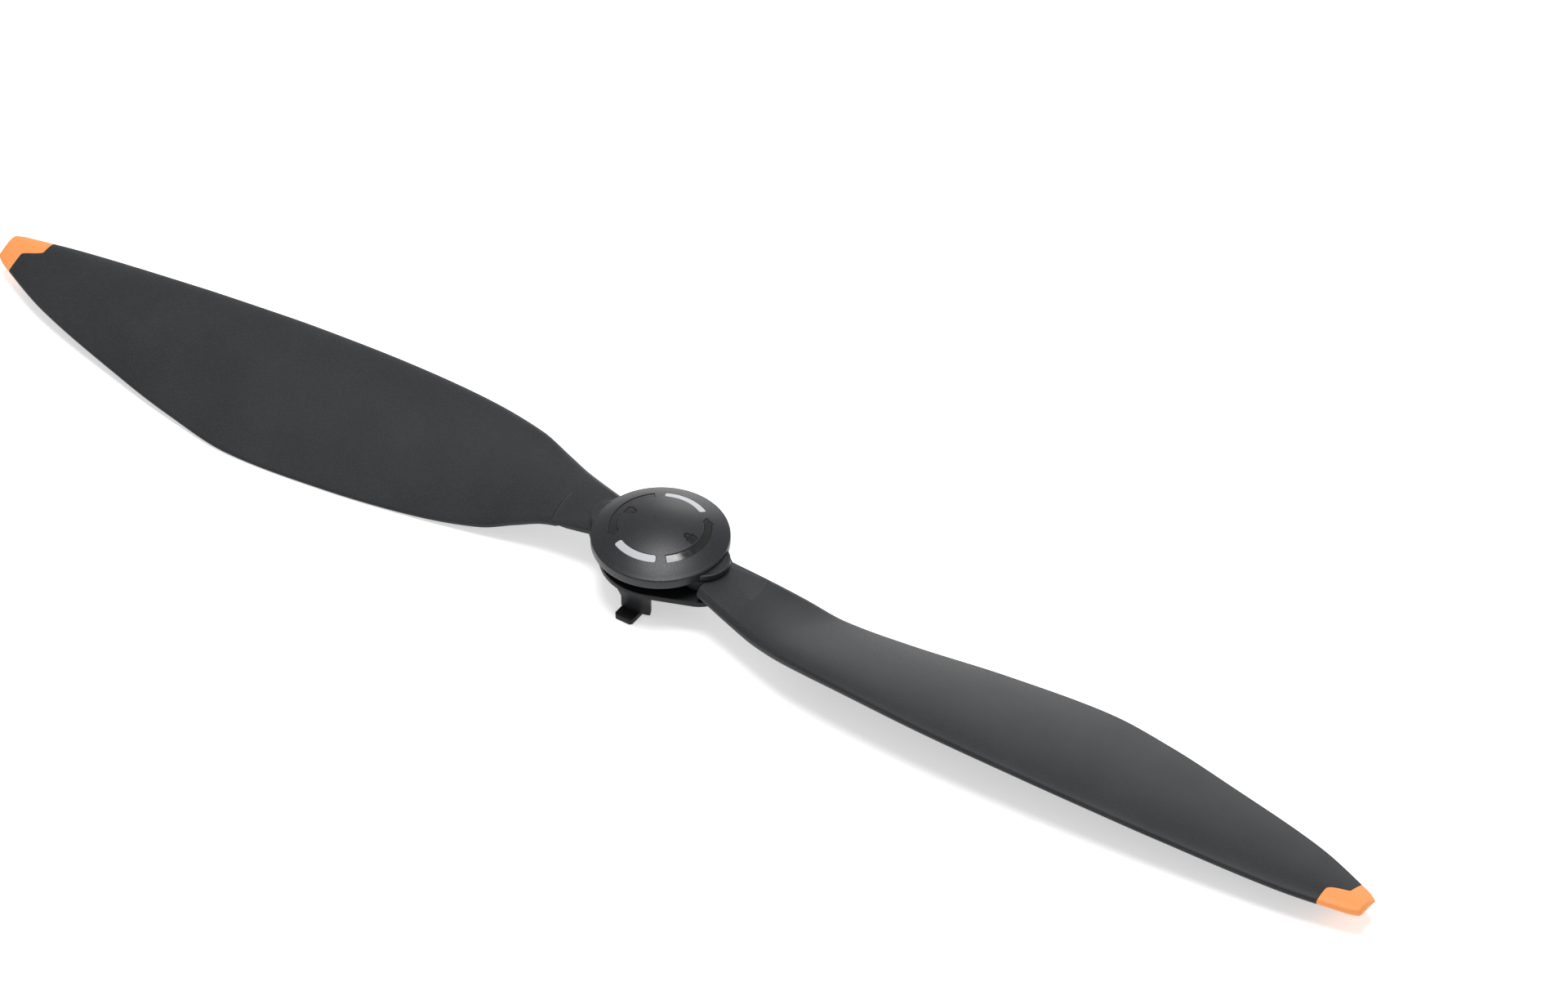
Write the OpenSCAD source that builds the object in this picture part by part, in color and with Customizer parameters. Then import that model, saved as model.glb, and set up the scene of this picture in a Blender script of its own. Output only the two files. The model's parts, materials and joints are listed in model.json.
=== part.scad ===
// Two-blade folding propeller with a bayonet quick-release hub.
// The origin is on the hub axis, in the plane of the face that sits on the motor.
// +Z points up the hub axis and +X points along blade A. Seen from above it turns clockwise,
// so the leading edge of blade A is on the -Y side. Lengths are in millimetres.

/* [Blades] */
// Distance from the hub axis to a blade tip
prop_r = 140; // [120:1:170]
// Greatest width of a blade across its two edges
blade_w = 28.3; // [23:0.1:34]
// Greatest thickness of a blade, just outside its root
blade_t = 2.9; // [2.3:0.1:3.6]
// Thickness left at the trailing edge
edge_t = 0.5; // [0.3:0.05:0.8]
// Height of the curved camber line, as a share of the width
camber = 0.045; // [0:0.005:0.08]
// Length of the coloured tip, measured along the middle of the blade
tip_len = 5.5; // [4:0.1:15]
// How much longer the coloured tip is along the leading edge than along the trailing edge
tip_step = 3.4; // [0:0.1:4]

/* [Hub] */
// Radius of the round cap
hub_r = 11.7; // [10.5:0.1:14.1]
// Height of the cap's side wall
cap_wall = 1.7; // [1.4:0.1:2.2]
// Rise of the domed top above the side wall
dome_h = 3.1; // [2.4:0.1:3.8]
// Thickness of the cap's domed skin
cap_skin = 1.3; // [1:0.1:1.6]
// Radius of the round middle of the base plate
base_r = 10.4; // [9.4:0.1:11.4]
// Thickness of the base plate
base_t = 1.7; // [1.5:0.1:2.2]
// Open height between the base plate and the cap
gap_h = 2.7; // [2.3:0.1:3.4]
// Radius of the post in the middle, between the two blades
post_r = 3.2; // [3:0.1:3.9]

/* [Hinges] */
// Distance from the hub axis to each hinge axis
pivot_x = 9; // [8.2:0.1:10.8]
// Radius of the cap's ear over each hinge
ear_r = 4.4; // [4:0.1:5.4]
// Height of each ear
ear_h = 1.1; // [0.9:0.1:1.5]
// Radius of the base plate's lobe under each hinge
lobe_r = 5.6; // [5:0.1:6.8]
// Outer radius of the steel sleeve that each blade turns on
sleeve_r = 1.9; // [1.7:0.05:2.3]
// Radius of the screw that clamps each sleeve
screw_r = 1; // [0.8:0.05:1.2]
// Radius of the screw's head
screw_head_r = 1.9; // [1.7:0.05:2.3]
// Height of the screw's head
screw_head_h = 0.7; // [0.5:0.05:0.85]
// Outer radius of the thin washers over and under each blade
washer_r = 3.4; // [3:0.1:4.2]
// Thickness of each washer
washer_t = 0.25; // [0.2:0.05:0.3]
// Radius of the flat round recess on a blade's root
recess_r = 11.3; // [9.5:0.1:13.5]

/* [Motor fitting] */
// Radius of the blind bore that centres the hub on the motor
bore_r = 2; // [1.6:0.1:2.4]
// Depth of that bore
bore_depth = 3.6; // [3:0.1:3.9]
// Inner radius of the two curved claw legs
leg_r = 7.8; // [6.8:0.1:8.4]
// Thickness of a claw leg
leg_t = 1.3; // [1:0.1:1.6]
// How far the claws reach below the motor face
claw_drop = 5.1; // [4:0.1:5.8]
// Distance from the hub axis to the outer edge of a claw's foot
foot_r = 11.35; // [10.4:0.05:13.5]
// Width of a claw's foot
foot_w = 3.5; // [2.8:0.1:4.2]
// Thickness of a claw's foot
foot_t = 1.1; // [0.9:0.1:1.4]

/* [Marks on the cap] */
// Outer radius of the ring of marks
ring_r = 8.6; // [8.2:0.05:8.9]
// Width of that ring
ring_w = 1.35; // [1:0.05:1.5]
// Half the angle that a grey arc spans
grey_half = 29; // [22:1:34]
// Half the angle that an arrow spans
arrow_half = 49; // [42:1:52]
// Depth of the pockets that the marks fill
mark_depth = 0.4; // [0.3:0.05:0.6]
// How far the glossy marks lie below the surface
gloss_sink = 0.12; // [0.05:0.01:0.15]

/* [Hidden] */
$fn = 96;

// Clearances
face_gap = 0.05;    // between a washer and the blade that turns against it
run_gap = 0.05;     // between a sleeve and the blade's bore
fit_gap = 0.02;     // between pieces that are clamped or pressed together
side_gap = 0.35;    // between a moving blade and the fixed hub
cut = 1;            // how far a cutting shape runs past a face

// Heights, upwards from the motor face
gap_top = base_t + gap_h;
crease_z = gap_top + cap_wall;
knuckle_z = base_t + washer_t + face_gap;
knuckle_h = gap_h - 2 * (washer_t + face_gap);
hinge_z = base_t + gap_h / 2;
screw_seat = screw_head_h + 0.1;
screw_top = crease_z + 0.2;

// Base plate
rim_t = 1.05;       // thickness of the plate's overhanging rim
rim_step = 1.3;     // how far the rim overhangs the plate below it
lobe_y = 3.9 - lobe_r; // a lobe's middle is shifted towards the leading edge
flare_drop = 2;     // depth of the sloping outside of a claw leg
leg_from = -103;    // angles between which a claw leg runs
leg_to = -67;
leg_short = 0.9;    // how much shorter the leg is where it has no foot
spigot_r = 1.6;     // post's spigot in the cap
spigot_h = 1;

// Cap
edge_round = 0.1;   // the dome starts this far inside the side wall
dome_r = ((hub_r - edge_round) ^ 2 + dome_h ^ 2) / (2 * dome_h);
dome_z = crease_z + dome_h - dome_r;
cap_side = 1.2;     // thickness of the cap's side wall
screw_boss_r = 3.4;
ear_y = -0.3;       // an ear's middle is shifted towards the leading edge

// Blade root
root_gap = 1.2;     // between a blade's round end and the post
knuckle_r = pivot_x - post_r - root_gap;
root_x = pivot_x + 2.5;

// Blade outline. Each row holds the share of the span, the leading and trailing edge
// distances from the blade's axis, the heights of both edges over the hinge's middle,
// the thickness as a share of blade_t, and how far the section has turned from a flat
// slab (0) into an aerofoil (1).
stations = [
    [0,    knuckle_r + 1.6, -knuckle_r + 1.1, 0, 0, knuckle_h / blade_t, 0],
    [0.07, 8.8,  -4.5,  -0.65, -1.5,  0.79, 0.5],
    [0.11, 10.4, -5.75, -0.45, -3.4,  0.9,  0.75],
    [0.16, 12,   -7.35, 0.4,   -6,    1,    0.9],
    [0.25, 13.1, -10,   1,     -7.5,  0.92, 1],
    [0.38, 13.5, -13,   0.7,   -7.8,  0.82, 1],
    [0.53, 12.9, -14.8, 0,     -7.7,  0.72, 1],
    [0.63, 12.1, -13.2, -0.7,  -7.1,  0.66, 1],
    [0.72, 11.2, -10.8, -1.4,  -6.6,  0.6,  1],
    [0.89, 8.9,  -5.2,  -2.8,  -5.2,  0.5,  1],
    [1,    6.2,  0.7,   -3.4,  -4.2,  0.42, 1]
];
width_scale = blade_w / 28.3;
chord_steps = 12;
span_steps = 30;
tip_steps = 5;

// Marks
ring_in = ring_r - ring_w;
mark_round = 0.4;
head_angle = 9;     // angle taken up by an arrow's head
head_extra = 0.35;  // how far the head reaches past the ring on both sides
lock_x = ring_in - 1.25;
lock_size = 1.9;    // width of a padlock's body
shackle_r = 0.32 * lock_size;
eye_r = 0.15 * lock_size;

// Cubic interpolation of column c of the station table at span share f
function row_slope(c, i) =
    let (a = max(i - 1, 0), b = min(i + 1, len(stations) - 1))
    (stations[b][c] - stations[a][c]) / (stations[b][0] - stations[a][0]);

function row_below(f) =
    min(max([for (i = [0 : len(stations) - 1]) if (stations[i][0] <= f + 1e-9) i]),
        len(stations) - 2);

function at_span(c, f) =
    let (i = row_below(f), h = stations[i + 1][0] - stations[i][0],
        u = (f - stations[i][0]) / h, a = stations[i][c], b = stations[i + 1][c])
    a * (1 + 2 * u) * (1 - u) ^ 2 + b * u ^ 2 * (3 - 2 * u)
        + h * (row_slope(c, i) * u * (1 - u) ^ 2 + row_slope(c, i + 1) * u ^ 2 * (u - 1));

// Edge widths follow blade_w, except at the root, which follows the hinge
function edge_at(c, f) = at_span(c, f) * (1 + (width_scale - 1) * min(f / 0.16, 1));

// Half thickness at share s of the width behind the leading edge
function slab_half(s) = 0.5 * (1 - abs(2 * s - 1) ^ 6) ^ (1 / 6);
function foil_half(s) =
    5 * (0.2969 * sqrt(s) - 0.126 * s - 0.3516 * s ^ 2 + 0.2843 * s ^ 3 - 0.1015 * s ^ 4);
function half_at(s, f) =
    let (t = at_span(5, f) * blade_t, w = at_span(6, f))
    (1 - w) * t * slab_half(s)
        + w * (t * foil_half(s) + edge_t / 2 * min(1, 8 * sqrt(s)) * min(1, 12 * sqrt(1 - s)));

// A point of blade A's skin, at distance x along the blade; side is 1 on top, -1 below
function skin(x, s, side) =
    let (f = (x - root_x) / (prop_r - root_x), le = edge_at(1, f), te = edge_at(2, f),
        bow = 4 * s * (1 - s) * camber * (le - te) * at_span(6, f))
    [x, -(le + (te - le) * s),
        hinge_z + at_span(3, f) + (at_span(4, f) - at_span(3, f)) * s + bow + side * half_at(s, f)];

// Where the coloured tip meets the blade: two straight stretches joined by one soft step
function soft_step(u) = let (v = min(max(u, 0), 1)) v ^ 2 * (3 - 2 * v);
function split_x(s) = prop_r - tip_len + tip_step * (soft_step((s - 0.4) / 0.35) - 0.5);

// Shares of the width at which the skin has points, closer together near both edges
function share(j) = (1 - cos(180 * j / chord_steps)) / 2;

// One closed ring of points, over the top from the leading edge and back underneath
function ring_at(place) = concat(
    [for (j = [0 : chord_steps]) skin(place(share(j)), share(j), 1)],
    [for (j = [chord_steps - 1 : -1 : 1]) skin(place(share(j)), share(j), -1)]);

// A closed solid through a list of rings; the two ends are ladders from top to underside
module loft(rings) {
    n = 2 * chord_steps;
    last = (len(rings) - 1) * n;
    walls = [for (k = [0 : len(rings) - 2]) for (j = [0 : n - 1])
        let (a = k * n + j, b = k * n + (j + 1) % n)
        each [[a, b, a + n], [b, b + n, a + n]]];
    ends = [for (j = [0 : chord_steps - 1])
        let (up = j, up2 = j + 1, low = (n - j) % n, low2 = n - j - 1)
        each [
            if (low != up) [up, low, up2],
            if (low2 != up2) [up2, low, low2],
            if (low != up) [last + up, last + up2, last + low],
            if (low2 != up2) [last + up2, last + low2, last + low]
        ]];
    polyhedron(points = [for (r = rings) each r], faces = concat(walls, ends));
}

module blade_skin() {
    loft([for (k = [0 : span_steps])
        ring_at(function (s) root_x + (split_x(s) - root_x) * (k / span_steps) ^ 1.3)]);
}

module tip_skin() {
    loft([for (k = [0 : tip_steps])
        ring_at(function (s) split_x(s) + (prop_r - split_x(s)) * k / tip_steps)]);
}

// The half turn that carries side A to side B
module side_b() {
    rotate([0, 0, 180]) children();
}

module at_pivot() {
    translate([pivot_x, 0, 0]) children();
}

module both_sides() {
    children();
    side_b() children();
}

module tube(r_out, r_in, h) {
    difference() {
        cylinder(r = r_out, h = h);
        translate([0, 0, -cut]) cylinder(r = r_in, h = h + 2 * cut);
    }
}

// A flat sector of a ring, between two angles
module ring_sector(r_in, r_out, from, to) {
    intersection() {
        difference() {
            circle(r = r_out);
            circle(r = r_in);
        }
        polygon(concat([[0, 0]],
            [for (k = [0 : 4]) let (a = from + (to - from) * k / 4) 2 * r_out * [cos(a), sin(a)]]));
    }
}

// The same with small round corners
module round_sector(r_in, r_out, from, to, r) {
    turn_in = asin(r / (r_in + r));
    turn_out = asin(r / (r_out - r));
    ring_sector(r_in + r, r_out - r, from, to);
    ring_sector(r_in, r_out, from + turn_in, to - turn_in);
    for (side = [0, 1]) {
        a_in = side == 0 ? from + turn_in : to - turn_in;
        a_out = side == 0 ? from + turn_out : to - turn_out;
        translate((r_in + r) * [cos(a_in), sin(a_in)]) circle(r = r);
        translate((r_out - r) * [cos(a_out), sin(a_out)]) circle(r = r);
    }
}

// A band with straight sides that joins a circle round the hub axis to one at [x, y]
module joining_band(r1, x, y, r2) {
    tuck = 0.03;
    turn = acos((r1 - r2) / norm([x, y]));
    head = atan2(y, x);
    polygon([for (p = [[0, 0, r1, 1], [0, 0, r1, -1], [x, y, r2, -1], [x, y, r2, 1]])
        [p[0], p[1]] + (p[2] - tuck) * [cos(head + p[3] * turn), sin(head + p[3] * turn)]]);
}

// Outline of the base plate, drawn in by a given amount
module base_outline(inset = 0) {
    circle(r = base_r - inset);
    both_sides() {
        translate([pivot_x, lobe_y]) circle(r = lobe_r - inset);
        joining_band(base_r - inset, pivot_x, lobe_y, lobe_r - inset);
    }
}

// One bayonet claw: a curved leg that slopes in from the rim, and a foot with clipped corners
module claw() {
    leg_out = leg_r + leg_t;
    slope_top = base_t - rim_t;
    rim_in = base_r - 0.2;
    foot_in = leg_r + 0.2;
    clip = 0.4;
    intersection() {
        translate([0, 0, -claw_drop]) linear_extrude(claw_drop + base_t)
            ring_sector(leg_r - cut, 2 * base_r, leg_from, leg_to);
        rotate_extrude() polygon([[leg_r, leg_short - claw_drop], [leg_out, leg_short - claw_drop],
            [leg_out, -flare_drop], [rim_in, slope_top], [rim_in, slope_top + rim_t / 2],
            [leg_r, slope_top + rim_t / 2]]);
    }
    translate([-foot_w / 2, 0, -claw_drop]) linear_extrude(foot_t)
        polygon([[0, -foot_in], [0, clip - foot_r], [clip, -foot_r], [foot_w - clip, -foot_r],
            [foot_w, clip - foot_r], [foot_w, -foot_in]]);
}

module hub_base() {
    color([0.16, 0.165, 0.175]) difference() {
        union() {
            translate([0, 0, base_t - rim_t]) linear_extrude(rim_t) base_outline();
            linear_extrude(base_t - rim_t) base_outline(rim_step);
            cylinder(r = post_r, h = gap_top);
            cylinder(r = spigot_r, h = gap_top + spigot_h);
            both_sides() claw();
        }
        translate([0, 0, -cut]) cylinder(r = bore_r, h = bore_depth + cut);
        both_sides() at_pivot() {
            translate([0, 0, -cut]) cylinder(r = screw_head_r + 0.15, h = screw_seat + cut);
            cylinder(r = screw_r + fit_gap, h = base_t + cut);
        }
    }
}

// The domed outside of the cap, drawn in by a given depth
module dome(depth = 0) {
    intersection() {
        translate([0, 0, dome_z]) sphere(r = dome_r - depth, $fn = 180);
        translate([0, 0, gap_top]) cylinder(r = hub_r - edge_round, h = cap_wall + dome_h);
    }
}

// A mark's solid: its outline, between two depths below the dome
module mark_layer(top, bottom) {
    intersection() {
        translate([0, 0, gap_top]) linear_extrude(cap_wall + 2 * dome_h) children();
        difference() {
            translate([0, 0, dome_z]) sphere(r = dome_r - top, $fn = 180);
            translate([0, 0, dome_z]) sphere(r = dome_r - bottom, $fn = 180);
        }
    }
}

module grey_shape() {
    round_sector(ring_in, ring_r, 90 - grey_half, 90 + grey_half, mark_round);
}

module arrow_shape() {
    neck = arrow_half - head_angle;
    middle = (ring_in + ring_r) / 2;
    ring_sector(ring_in, ring_r, -arrow_half, neck + 1);
    polygon([(ring_in - head_extra) * [cos(neck), sin(neck)],
        (ring_r + head_extra) * [cos(neck), sin(neck)],
        middle * [cos(arrow_half), sin(arrow_half)]]);
}

module padlock_shape() {
    half = lock_size / 2;
    translate([lock_x, 0]) {
        translate([-0.2, -half]) square([half + 0.2, lock_size]);
        difference() {
            union() {
                translate([-0.55, 0]) circle(r = shackle_r);
                translate([-0.55, -shackle_r]) square([0.4, 2 * shackle_r]);
            }
            translate([-0.5, 0]) circle(r = eye_r);
        }
    }
}

module hub_cap() {
    color([0.2, 0.205, 0.215]) difference() {
        union() {
            dome();
            translate([0, 0, gap_top]) cylinder(r = hub_r, h = cap_wall);
            both_sides() at_pivot() translate([0, ear_y, gap_top]) cylinder(r = ear_r, h = ear_h);
        }
        // hollow underside, with a socket for the post and a boss for each screw
        difference() {
            intersection() {
                translate([0, 0, dome_z]) sphere(r = dome_r - cap_skin, $fn = 180);
                translate([0, 0, gap_top - cut]) cylinder(r = hub_r - cap_side, h = 2 * dome_h + cap_wall);
            }
            cylinder(r = post_r + 0.6, h = 3 * crease_z);
            both_sides() at_pivot() cylinder(r = screw_boss_r, h = 3 * crease_z);
        }
        cylinder(r = spigot_r + fit_gap, h = gap_top + spigot_h + 0.2);
        both_sides() at_pivot() cylinder(r = screw_r + fit_gap, h = screw_top + 0.1);
        mark_layer(-cut, mark_depth) both_sides() {
            grey_shape();
            arrow_shape();
            padlock_shape();
        }
    }
}

// What a blade must leave free: the cap above its root and the base plate below it
module blade_clearance() {
    top = knuckle_z + knuckle_h;
    swing = [-90, 90];
    translate([0, 0, top]) {
        cylinder(r = recess_r, h = prop_r);
        for (a = swing) rotate([0, 0, a]) translate([-pivot_x, 0, 0])
            cylinder(r = hub_r + side_gap, h = prop_r);
    }
    translate([0, 0, knuckle_z - prop_r]) {
        cylinder(r = lobe_r - lobe_y + side_gap, h = prop_r);
        for (a = swing) rotate([0, 0, a]) translate([-pivot_x, 0, 0])
            linear_extrude(prop_r) base_outline(-side_gap);
    }
}

module blade() {
    color([0.22, 0.225, 0.235]) difference() {
        union() {
            blade_skin();
            at_pivot() translate([0, 0, knuckle_z]) cylinder(r = knuckle_r, h = knuckle_h);
        }
        at_pivot() {
            blade_clearance();
            translate([0, 0, knuckle_z - cut])
                cylinder(r = sleeve_r + run_gap, h = knuckle_h + 2 * cut);
        }
    }
}

module blade_tip() {
    color([1, 0.62, 0.36]) tip_skin();
}

module pivot_sleeve() {
    color([0.72, 0.73, 0.75]) at_pivot() translate([0, 0, base_t])
        tube(sleeve_r, screw_r + fit_gap, gap_h);
}

// The screw comes up from under the base plate and threads into the cap
module pivot_screw() {
    slot_w = 0.5;
    slot_l = 1.16 * screw_head_r;
    color([0.3, 0.3, 0.32]) at_pivot() difference() {
        union() {
            translate([0, 0, screw_seat - screw_head_h]) cylinder(r = screw_head_r, h = screw_head_h);
            translate([0, 0, screw_seat - screw_head_h / 2])
                cylinder(r = screw_r, h = screw_top - screw_seat + screw_head_h / 2);
        }
        for (a = [0, 90]) rotate([0, 0, a])
            translate([-slot_l / 2, -slot_w / 2, 0]) cube([slot_l, slot_w, screw_seat - screw_head_h / 2]);
    }
}

module washer(z) {
    color([0.8, 0.8, 0.76]) at_pivot() translate([0, 0, z]) tube(washer_r, sleeve_r + fit_gap, washer_t);
}

module grey_arc() {
    color([0.8, 0.8, 0.82]) mark_layer(0, mark_depth) grey_shape();
}

module lock_arrow() {
    color([0.04, 0.04, 0.045]) mark_layer(gloss_sink, mark_depth) arrow_shape();
}

module padlock_mark() {
    color([0.04, 0.04, 0.045]) mark_layer(gloss_sink, mark_depth) padlock_shape();
}

hub_base();
hub_cap();
blade();  // blade_a
side_b() blade();  // blade_b
blade_tip();  // blade_tip_a
side_b() blade_tip();  // blade_tip_b
pivot_sleeve();  // pivot_sleeve_a
side_b() pivot_sleeve();  // pivot_sleeve_b
pivot_screw();  // pivot_screw_a
side_b() pivot_screw();  // pivot_screw_b
washer(base_t);  // lower_washer_a
side_b() washer(base_t);  // lower_washer_b
washer(gap_top - washer_t);  // upper_washer_a
side_b() washer(gap_top - washer_t);  // upper_washer_b
grey_arc();  // grey_arc_far
side_b() grey_arc();  // grey_arc_near
lock_arrow();  // lock_arrow_a
side_b() lock_arrow();  // lock_arrow_b
padlock_mark();  // padlock_mark_a
side_b() padlock_mark();  // padlock_mark_b
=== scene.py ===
# %% [markdown]
# # A folding two-blade propeller with a quick-release hub
# The real object is moulded plastic. Two thin blades turn on steel sleeves between a
# domed cap and a base plate, and the base clips to a motor with two bayonet claws.
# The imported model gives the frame, so every size below starts from one of its boxes,
# and every piece is made where its CAD node already lies.

# %% Load the frame
import json
import math

import bmesh
import bpy
import numpy as np
from mathutils import Matrix, Vector, geometry


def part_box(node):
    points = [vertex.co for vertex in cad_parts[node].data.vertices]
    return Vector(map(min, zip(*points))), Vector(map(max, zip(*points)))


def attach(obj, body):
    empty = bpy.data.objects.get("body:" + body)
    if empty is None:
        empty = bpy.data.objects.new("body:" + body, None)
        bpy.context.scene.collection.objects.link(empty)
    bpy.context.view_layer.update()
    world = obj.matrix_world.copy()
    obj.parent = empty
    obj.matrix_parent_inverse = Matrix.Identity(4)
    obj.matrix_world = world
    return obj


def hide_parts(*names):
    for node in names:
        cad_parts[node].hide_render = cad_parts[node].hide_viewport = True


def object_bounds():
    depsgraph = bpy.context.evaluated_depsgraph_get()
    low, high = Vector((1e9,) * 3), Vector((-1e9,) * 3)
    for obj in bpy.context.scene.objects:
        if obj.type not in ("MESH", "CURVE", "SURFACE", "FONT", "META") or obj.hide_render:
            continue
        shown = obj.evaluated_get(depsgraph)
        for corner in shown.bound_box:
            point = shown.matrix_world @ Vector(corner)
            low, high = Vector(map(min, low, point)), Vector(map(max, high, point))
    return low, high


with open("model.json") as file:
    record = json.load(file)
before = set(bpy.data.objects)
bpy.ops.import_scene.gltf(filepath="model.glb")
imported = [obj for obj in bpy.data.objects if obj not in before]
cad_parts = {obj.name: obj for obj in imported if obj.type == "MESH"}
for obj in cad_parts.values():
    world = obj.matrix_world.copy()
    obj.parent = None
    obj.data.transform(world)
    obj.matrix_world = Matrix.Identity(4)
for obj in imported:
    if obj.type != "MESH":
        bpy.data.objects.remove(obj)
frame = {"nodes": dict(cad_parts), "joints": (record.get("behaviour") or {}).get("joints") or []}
cad_low, cad_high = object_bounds()
print("frame", sorted(frame["nodes"]))

# %% [markdown]
# ## Driving sizes
# Blender works in metres, and this object is only 280 mm across, so sizes are written
# in millimetres times MM. Sizes that the frame holds are read from it, and only the
# ones that it can't hold, such as a chamfer, are given here.

# %% Sizes read from the frame
MM = 0.001
cap_low, cap_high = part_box("hub_cap")
base_low, base_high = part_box("hub_base")
sleeve_low, sleeve_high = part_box("pivot_sleeve_a")
washer_low, washer_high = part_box("lower_washer_a")
head_low, head_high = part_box("pivot_screw_a")
blade_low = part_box("blade_a")[0]
tip_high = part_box("blade_tip_a")[1]
hinge = Vector(frame["joints"][0]["pos_m"])

pivot_x = hinge.x
prop_r = tip_high.x
hub_r = cap_high.y
gap_top = cap_low.z
cap_top = cap_high.z
plate_top = sleeve_low.z
sleeve_r = (sleeve_high.x - sleeve_low.x) / 2
washer_r = (washer_high.x - washer_low.x) / 2
washer_t = washer_high.z - washer_low.z
screw_head_r = (head_high.x - head_low.x) / 2
knuckle_r = pivot_x - blade_low.x
root_x = pivot_x + 2.5 * MM
thread_r = 1.02 * MM
hair = 0.05 * MM
print("span", round(2 * prop_r / MM, 2), "mm, hub radius", round(hub_r / MM, 2), "mm")

# %% [markdown]
# ## Small helpers
# A piece starts as a list of points and faces. `solid` turns it into an object whose
# origin is the frame's own, which keeps patterns on Object coordinates in place. It
# also turns the faces outwards, because a face wound the wrong way looks black.

# %% Points and faces into an object
COLLECTION = bpy.context.scene.collection


def solid(name, points, faces, weld=0.002 * MM):
    mesh = bpy.data.meshes.new(name)
    mesh.from_pydata([tuple(p) for p in points], [], faces)
    work = bmesh.new()
    work.from_mesh(mesh)
    bmesh.ops.remove_doubles(work, verts=work.verts, dist=weld)
    bmesh.ops.recalc_face_normals(work, faces=work.faces)
    work.to_mesh(mesh)
    work.free()
    piece = bpy.data.objects.new(name, mesh)
    COLLECTION.objects.link(piece)
    return piece


def band_faces(rows, count):
    """Quads between rows of points that each close on themselves."""
    faces = []
    for k in range(rows - 1):
        for j in range(count):
            a = k * count + j
            b = k * count + (j + 1) % count
            faces.append([a, b, b + count, a + count])
    return faces


# %% [markdown]
# A modifier or a node tree only describes a change. `settle` asks Blender for the
# evaluated shape, keeps it as a plain mesh and drops the modifiers, so that what is
# seen is also what is exported.

# %% Modifiers into a plain mesh
def settle(piece):
    bpy.context.view_layer.update()
    graph = bpy.context.evaluated_depsgraph_get()
    mesh = bpy.data.meshes.new_from_object(piece.evaluated_get(graph))
    mesh.name = piece.name
    piece.modifiers.clear()
    piece.data = mesh
    return piece


def combine(piece, tools, how):
    for tool in tools:
        modifier = piece.modifiers.new(how, "BOOLEAN")
        modifier.operation = how
        modifier.solver = "EXACT"
        modifier.object = tool
        settle(piece)
        bpy.data.objects.remove(tool)
    return piece


def clean(piece, weld=0.004 * MM, crease=32):
    """Merges leftovers of a cut and shades smooth between the real edges."""
    work = bmesh.new()
    work.from_mesh(piece.data)
    bmesh.ops.remove_doubles(work, verts=work.verts, dist=weld)
    bmesh.ops.dissolve_degenerate(work, edges=work.edges, dist=weld)
    work.to_mesh(piece.data)
    work.free()
    piece.data.shade_smooth()
    piece.data.set_sharp_from_angle(angle=math.radians(crease))
    return piece


# %% [markdown]
# Most hub pieces are turned or moulded round an axis, as on a lathe. `turned` sweeps a
# profile of (radius, height) pairs round a vertical axis. A profile that starts and
# ends on the axis gives a solid, and `ring=True` joins its ends to give a tube.

# %% A lathe
def turned(name, profile, centre=(0, 0), steps=128, ring=False):
    points, rows = [], []
    for radius, height in profile:
        if radius < hair / 10:
            rows.append([len(points)] * steps)
            points.append((centre[0], centre[1], height))
            continue
        row = []
        for k in range(steps):
            angle = 2 * math.pi * k / steps
            row.append(len(points))
            points.append((centre[0] + radius * math.cos(angle),
                           centre[1] + radius * math.sin(angle), height))
        rows.append(row)
    if ring:
        rows.append(rows[0])
    faces = []
    for low, high in zip(rows, rows[1:]):
        for k in range(steps):
            n = (k + 1) % steps
            corners = list(dict.fromkeys((low[k], low[n], high[n], high[k])))
            if len(corners) > 2:
                faces.append(corners)
    return solid(name, points, faces)


def rounded(corners, radius, steps=5):
    """A profile with each inner corner replaced by a short curve of that radius."""
    made = [corners[0]]
    for before, here, after in zip(corners, corners[1:], corners[2:]):
        here_v = Vector(here)
        to_before = Vector(before) - here_v
        to_after = Vector(after) - here_v
        reach = min(radius, 0.45 * to_before.length, 0.45 * to_after.length)
        start = here_v + to_before.normalized() * reach
        end = here_v + to_after.normalized() * reach
        for k in range(steps + 1):
            t = k / steps
            made.append(tuple((1 - t) ** 2 * start + 2 * t * (1 - t) * here_v + t * t * end))
    made.append(corners[-1])
    return made


print("helpers ready")

# %% [markdown]
# ## A short way to write node trees
# Shader trees and Geometry Nodes trees are wired the same way. `Wiring` adds a node,
# sets its properties and links or fills its inputs in one call, and it knows the few
# sums that the blade's rule needs.

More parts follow.
